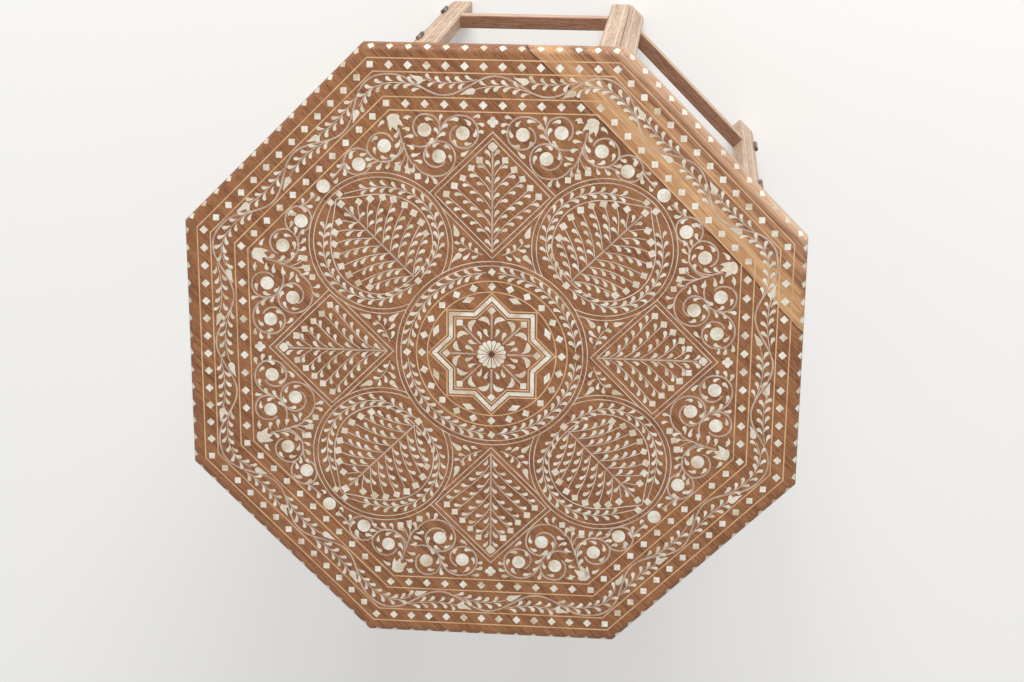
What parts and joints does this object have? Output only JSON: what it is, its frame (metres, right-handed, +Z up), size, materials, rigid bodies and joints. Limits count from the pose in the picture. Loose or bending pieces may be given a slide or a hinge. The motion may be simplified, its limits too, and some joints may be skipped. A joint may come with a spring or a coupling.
{
  "type": "octagonal side table",
  "caption": "Octagonal side table: an inlaid lift-off top on a ring of hinged, arched wooden panels that folds flat.",
  "frame": {"origin": "on the floor, on the vertical axis of the table, at the bottom centre of its box", "axes": "+Z up; +Y is the outward normal of panel 1; the other panels follow clockwise seen from above"},
  "size_m": [0.61, 0.61, 0.6183],
  "materials": {
    "post_wood": "waxed, worn",
    "rail_wood": "waxed",
    "arch_wood": "waxed",
    "hinge_iron": "blackened, worn",
    "screw_iron": "blackened",
    "pin_iron": "blackened",
    "top_wood": "satin wax",
    "top_wood_light": "satin wax",
    "top_wood_dark": "satin wax",
    "brass_line": "aged satin",
    "star_bone": "polished bone",
    "square_bone": "polished bone",
    "pale_line": "dull pale metal",
    "flower_bone": "polished bone"
  },
  "bodies": {
    "panel_1": {"post_outside_hinge_1": "post_wood", "post_inside_hinge_1": "post_wood", "rail_1": "rail_wood", "arch_board_1": "arch_wood", "hinge_leaves_1": "hinge_iron", "hinge_screws_1": "screw_iron", "hinge_pins_1": "pin_iron"},
    "panel_2": {"post_outside_hinge_2": "post_wood", "post_inside_hinge_2": "post_wood", "rail_2": "rail_wood", "arch_board_2": "arch_wood", "hinge_leaves_2": "hinge_iron", "hinge_screws_2": "screw_iron"},
    "panel_3": {"post_outside_hinge_3": "post_wood", "post_inside_hinge_3": "post_wood", "rail_3": "rail_wood", "arch_board_3": "arch_wood", "hinge_leaves_3": "hinge_iron", "hinge_screws_3": "screw_iron", "hinge_pins_3": "pin_iron"},
    "panel_4": {"post_outside_hinge_4": "post_wood", "post_inside_hinge_4": "post_wood", "rail_4": "rail_wood", "arch_board_4": "arch_wood", "hinge_leaves_4": "hinge_iron", "hinge_screws_4": "screw_iron"},
    "panel_5": {"post_outside_hinge_5": "post_wood", "post_inside_hinge_5": "post_wood", "rail_5": "rail_wood", "arch_board_5": "arch_wood", "hinge_leaves_5": "hinge_iron", "hinge_screws_5": "screw_iron", "hinge_pins_5": "pin_iron"},
    "panel_6": {"post_outside_hinge_6": "post_wood", "post_inside_hinge_6": "post_wood", "rail_6": "rail_wood", "arch_board_6": "arch_wood", "hinge_leaves_6": "hinge_iron", "hinge_screws_6": "screw_iron"},
    "panel_7": {"post_outside_hinge_7": "post_wood", "post_inside_hinge_7": "post_wood", "rail_7": "rail_wood", "arch_board_7": "arch_wood", "hinge_leaves_7": "hinge_iron", "hinge_screws_7": "screw_iron", "hinge_pins_7": "pin_iron"},
    "panel_8": {"post_outside_hinge_8": "post_wood", "post_inside_hinge_8": "post_wood", "rail_8": "rail_wood", "arch_board_8": "arch_wood", "hinge_leaves_8": "hinge_iron", "hinge_screws_8": "screw_iron"},
    "tabletop": {"top_board_middle": "top_wood", "top_board_light": "top_wood_light", "top_board_dark": "top_wood_dark", "line_inlay": "brass_line", "star_inlay": "star_bone", "square_inlay": "square_bone", "pale_line_inlay": "pale_line", "flower_inlay": "flower_bone"}
  },
  "joints": [
    {"name": "fold_1_2", "type": "hinge", "parent": "panel_1", "child": "panel_2", "pos_m": [0.10358, 0.25005, 0.31], "axis": [0, 0, -1], "range_deg": [0, 125]},
    {"name": "fold_2_3", "type": "hinge", "parent": "panel_2", "child": "panel_3", "pos_m": [0.2689, 0.11138, 0.31], "axis": [0, 0, 1], "range_deg": [0, 42]},
    {"name": "fold_3_4", "type": "hinge", "parent": "panel_3", "child": "panel_4", "pos_m": [0.25005, -0.10358, 0.31], "axis": [0, 0, -1], "range_deg": [0, 125]},
    {"name": "fold_4_5", "type": "hinge", "parent": "panel_4", "child": "panel_5", "pos_m": [0.11138, -0.2689, 0.31], "axis": [0, 0, 1], "range_deg": [0, 208.5]},
    {"name": "fold_1_8", "type": "hinge", "parent": "panel_1", "child": "panel_8", "pos_m": [-0.11138, 0.2689, 0.31], "axis": [0, 0, -1], "range_deg": [0, 208.5]},
    {"name": "fold_8_7", "type": "hinge", "parent": "panel_8", "child": "panel_7", "pos_m": [-0.25005, 0.10358, 0.31], "axis": [0, 0, 1], "range_deg": [0, 125]},
    {"name": "fold_7_6", "type": "hinge", "parent": "panel_7", "child": "panel_6", "pos_m": [-0.2689, -0.11138, 0.31], "axis": [0, 0, -1], "range_deg": [0, 42]},
    {"name": "top_lift", "type": "slide", "parent": "panel_1", "child": "tabletop", "axis": [0, 0, 1], "range_m": [0, 0.15]}
  ],
  "couplings": [
    {"joint": "fold_2_3", "follows": "fold_1_2", "ratio": 0.33333},
    {"joint": "fold_3_4", "follows": "fold_1_2", "ratio": 1},
    {"joint": "fold_4_5", "follows": "fold_1_2", "ratio": 1.6667},
    {"joint": "fold_1_8", "follows": "fold_1_2", "ratio": 1.6667},
    {"joint": "fold_8_7", "follows": "fold_1_2", "ratio": 1},
    {"joint": "fold_7_6", "follows": "fold_1_2", "ratio": 0.33333}
  ]
}
